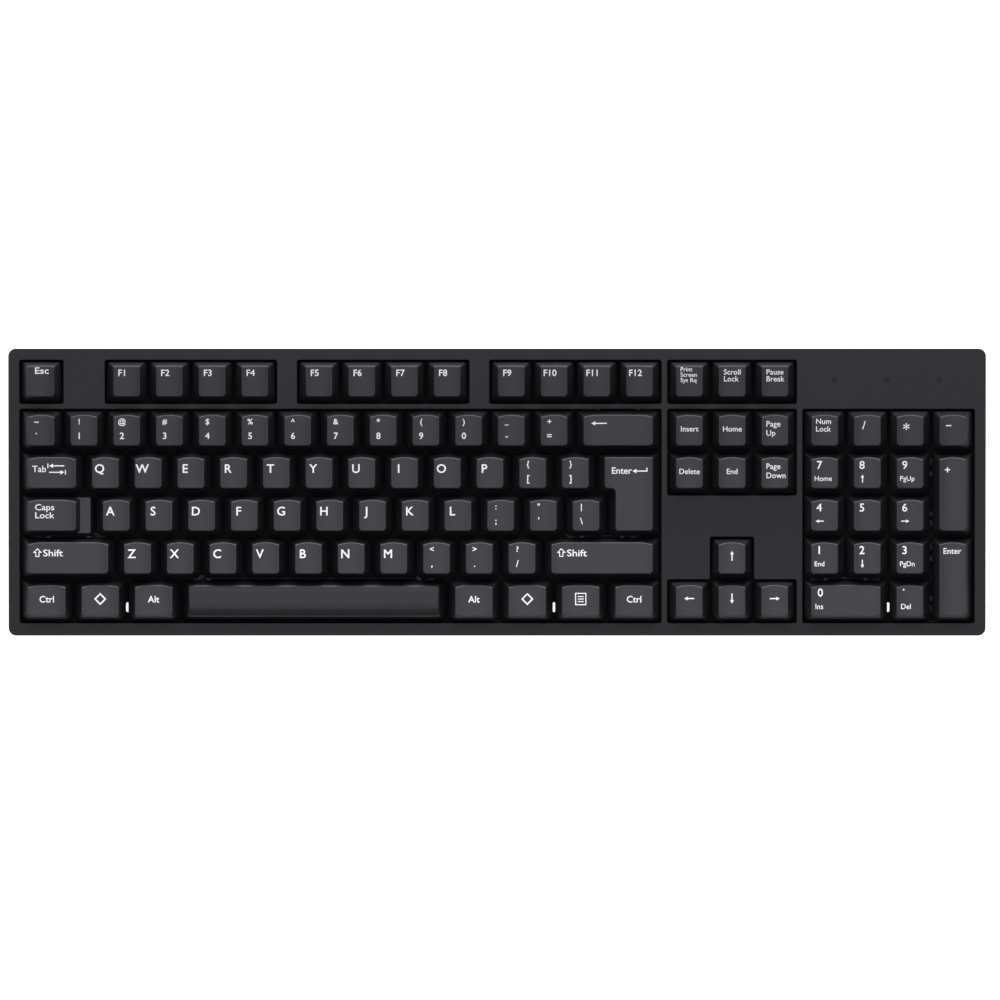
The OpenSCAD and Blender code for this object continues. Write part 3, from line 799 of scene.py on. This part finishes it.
# %% Round the edges of a CAD copy
def joined(name):
    bm = merged_copy(name)
    bmesh.ops.dissolve_limit(bm, angle_limit=math.radians(0.4), verts=bm.verts, edges=bm.edges)
    bmesh.ops.transform(bm, matrix=flatten, verts=bm.verts)
    bm.normal_update()
    return bm


def edges_where(bm, test, angle=40):
    return [e for e in bm.edges if len(e.link_faces) == 2 and test(e)
            and e.calc_face_angle(0) > math.radians(angle)]


def round_edges(bm, edges, radius, segments=3):
    bmesh.ops.bevel(bm, geom=edges, offset=radius, segments=segments, affect="EDGES",
                    profile=0.5, material=-1, clamp_overlap=True)


def long_enough(e, least):
    return (e.verts[0].co - e.verts[1].co).length > least


def level(e, z, slack=0.05):
    return all(abs(v.co.z - z) < slack for v in e.verts)


def place_body(bm, name):
    bmesh.ops.transform(bm, matrix=DECK, verts=bm.verts)
    finished(bm, name + "_body", frame_body[name], [body_finish], [name])


frame_body = {n: b for b, ns in frame["record"]["behaviour"]["bodies"].items() for n in ns}

# %% The upper half
upper = joined("top_case")
inner_corners = edges_where(upper, lambda e: abs((e.verts[0].co - e.verts[1].co).normalized().z) > 0.999
                            and max(v.co.z for v in e.verts) > BEZEL - 0.1 and long_enough(e, 9.0)
                            and all(abs(v.co.x) < 214 for v in e.verts))
round_edges(upper, inner_corners, 0.9, 3)
upper.normal_update()
LAMP_PITCH = 23.4
lamps = [Vector((col(PAD + 2) + c * LAMP_PITCH - 0.8, row(5) + 0.9)) for c in (-1, 0, 1)]
bezel_edges = edges_where(upper, lambda e: level(e, BEZEL) and min(
    (p - e.verts[0].co.xy).length for p in lamps) > 2)
round_edges(upper, bezel_edges, 0.5, 3)
print("upper half:", len(inner_corners), "window corners,", len(bezel_edges), "bezel edges")
place_body(upper, "top_case")

# %% The lower half and the feet
lower = joined("bottom_case")
floor_edges = edges_where(lower, lambda e: all(
    abs((DECK @ v.co).z - 0.0012) < 2e-5 for v in e.verts) and all(
    abs((DECK @ v.co).x) > 0.2145 or abs((DECK @ v.co).y) > 0.0605 for v in e.verts))
round_edges(lower, floor_edges, 0.6, 3)
print("lower half:", len(floor_edges), "floor edges")
place_body(lower, "bottom_case")
for name in ("foot_left", "foot_right"):
    foot = joined(name)
    round_edges(foot, edges_where(foot, lambda e: long_enough(e, 8.0), 50), 0.35, 2)
    place_body(foot, name)

# %% [markdown]
# ## Floor, light and camera
# The floor is plain and pale and glows a little, so that it stays white under the body and shows
# through the drain slots. One broad soft light hangs overhead and a little to the front, where the
# sloping deck mirrors it: the tops of the caps catch it, and the steep walls between the keys do
# not, so they stay dark. Two more stand behind. The low one draws a line along the tops' rear edges.

# %% Floor
floor_mesh = bpy.data.meshes.new("floor")
sheet = bmesh.new()
bmesh.ops.create_grid(sheet, x_segments=1, y_segments=1, size=60.0)
sheet.to_mesh(floor_mesh)
sheet.free()
floor = bpy.data.objects.new("floor", floor_mesh)
bpy.context.scene.collection.objects.link(floor)
floor_finish = Finish("floor_paint")
floor_finish.set(Base_Color=grey(0.75), Roughness=0.9, Emission_Color=grey(1.0), Emission_Strength=0.95,
                 Specular_IOR_Level=0.0)
floor.data.materials.append(floor_finish.material)

# %% World and lamps
world = bpy.data.worlds.new("studio")
bpy.context.scene.world = world
world.use_nodes = True
world.node_tree.nodes["Background"].inputs[0].default_value = (0.9, 0.93, 1.0, 1)
world.node_tree.nodes["Background"].inputs[1].default_value = 0.05


def soft_light(name, place, aim, size, power, colour=(1, 1, 1)):
    data = bpy.data.lights.new(name, "AREA")
    data.shape, data.size, data.size_y = "RECTANGLE", size[0], size[1]
    data.energy, data.color = power, colour
    lamp = bpy.data.objects.new(name, data)
    lamp.location = place
    lamp.rotation_euler = (Vector(aim) - Vector(place)).to_track_quat("-Z", "Y").to_euler()
    bpy.context.scene.collection.objects.link(lamp)
    return lamp


soft_light("overhead", (0, -0.36, 1.8), (0, -0.36, 0), (2.4, 1.8), 23.0, (1.0, 0.99, 1.10))
soft_light("rear", (0, 1.35, 1.5), (0, 0, 0), (2.4, 0.75), 22, (1.0, 1.0, 1.08))
soft_light("low_rear", (0, 1.7, 0.55), (0, 0, 0), (2.4, 0.3), 45, (1.0, 1.0, 1.08))

# %% Camera: straight down from far away, so that the sides of the body stay out of sight
VIEW_WIDTH = 0.4461
DISTANCE = 9.0
VIEW_CENTRE, MEAN_HEIGHT = (0.0013, -0.0035), 0.026
camera_data = bpy.data.cameras.new("camera")
camera_data.sensor_width = 36.0
camera_data.lens = 36.0 * DISTANCE / VIEW_WIDTH
camera_data.clip_start, camera_data.clip_end = 0.1, 100.0
camera = bpy.data.objects.new("camera", camera_data)
camera.location = (*VIEW_CENTRE, DISTANCE + MEAN_HEIGHT)
bpy.context.scene.collection.objects.link(camera)
bpy.context.scene.camera = camera
bpy.context.scene.view_settings.view_transform = "Standard"
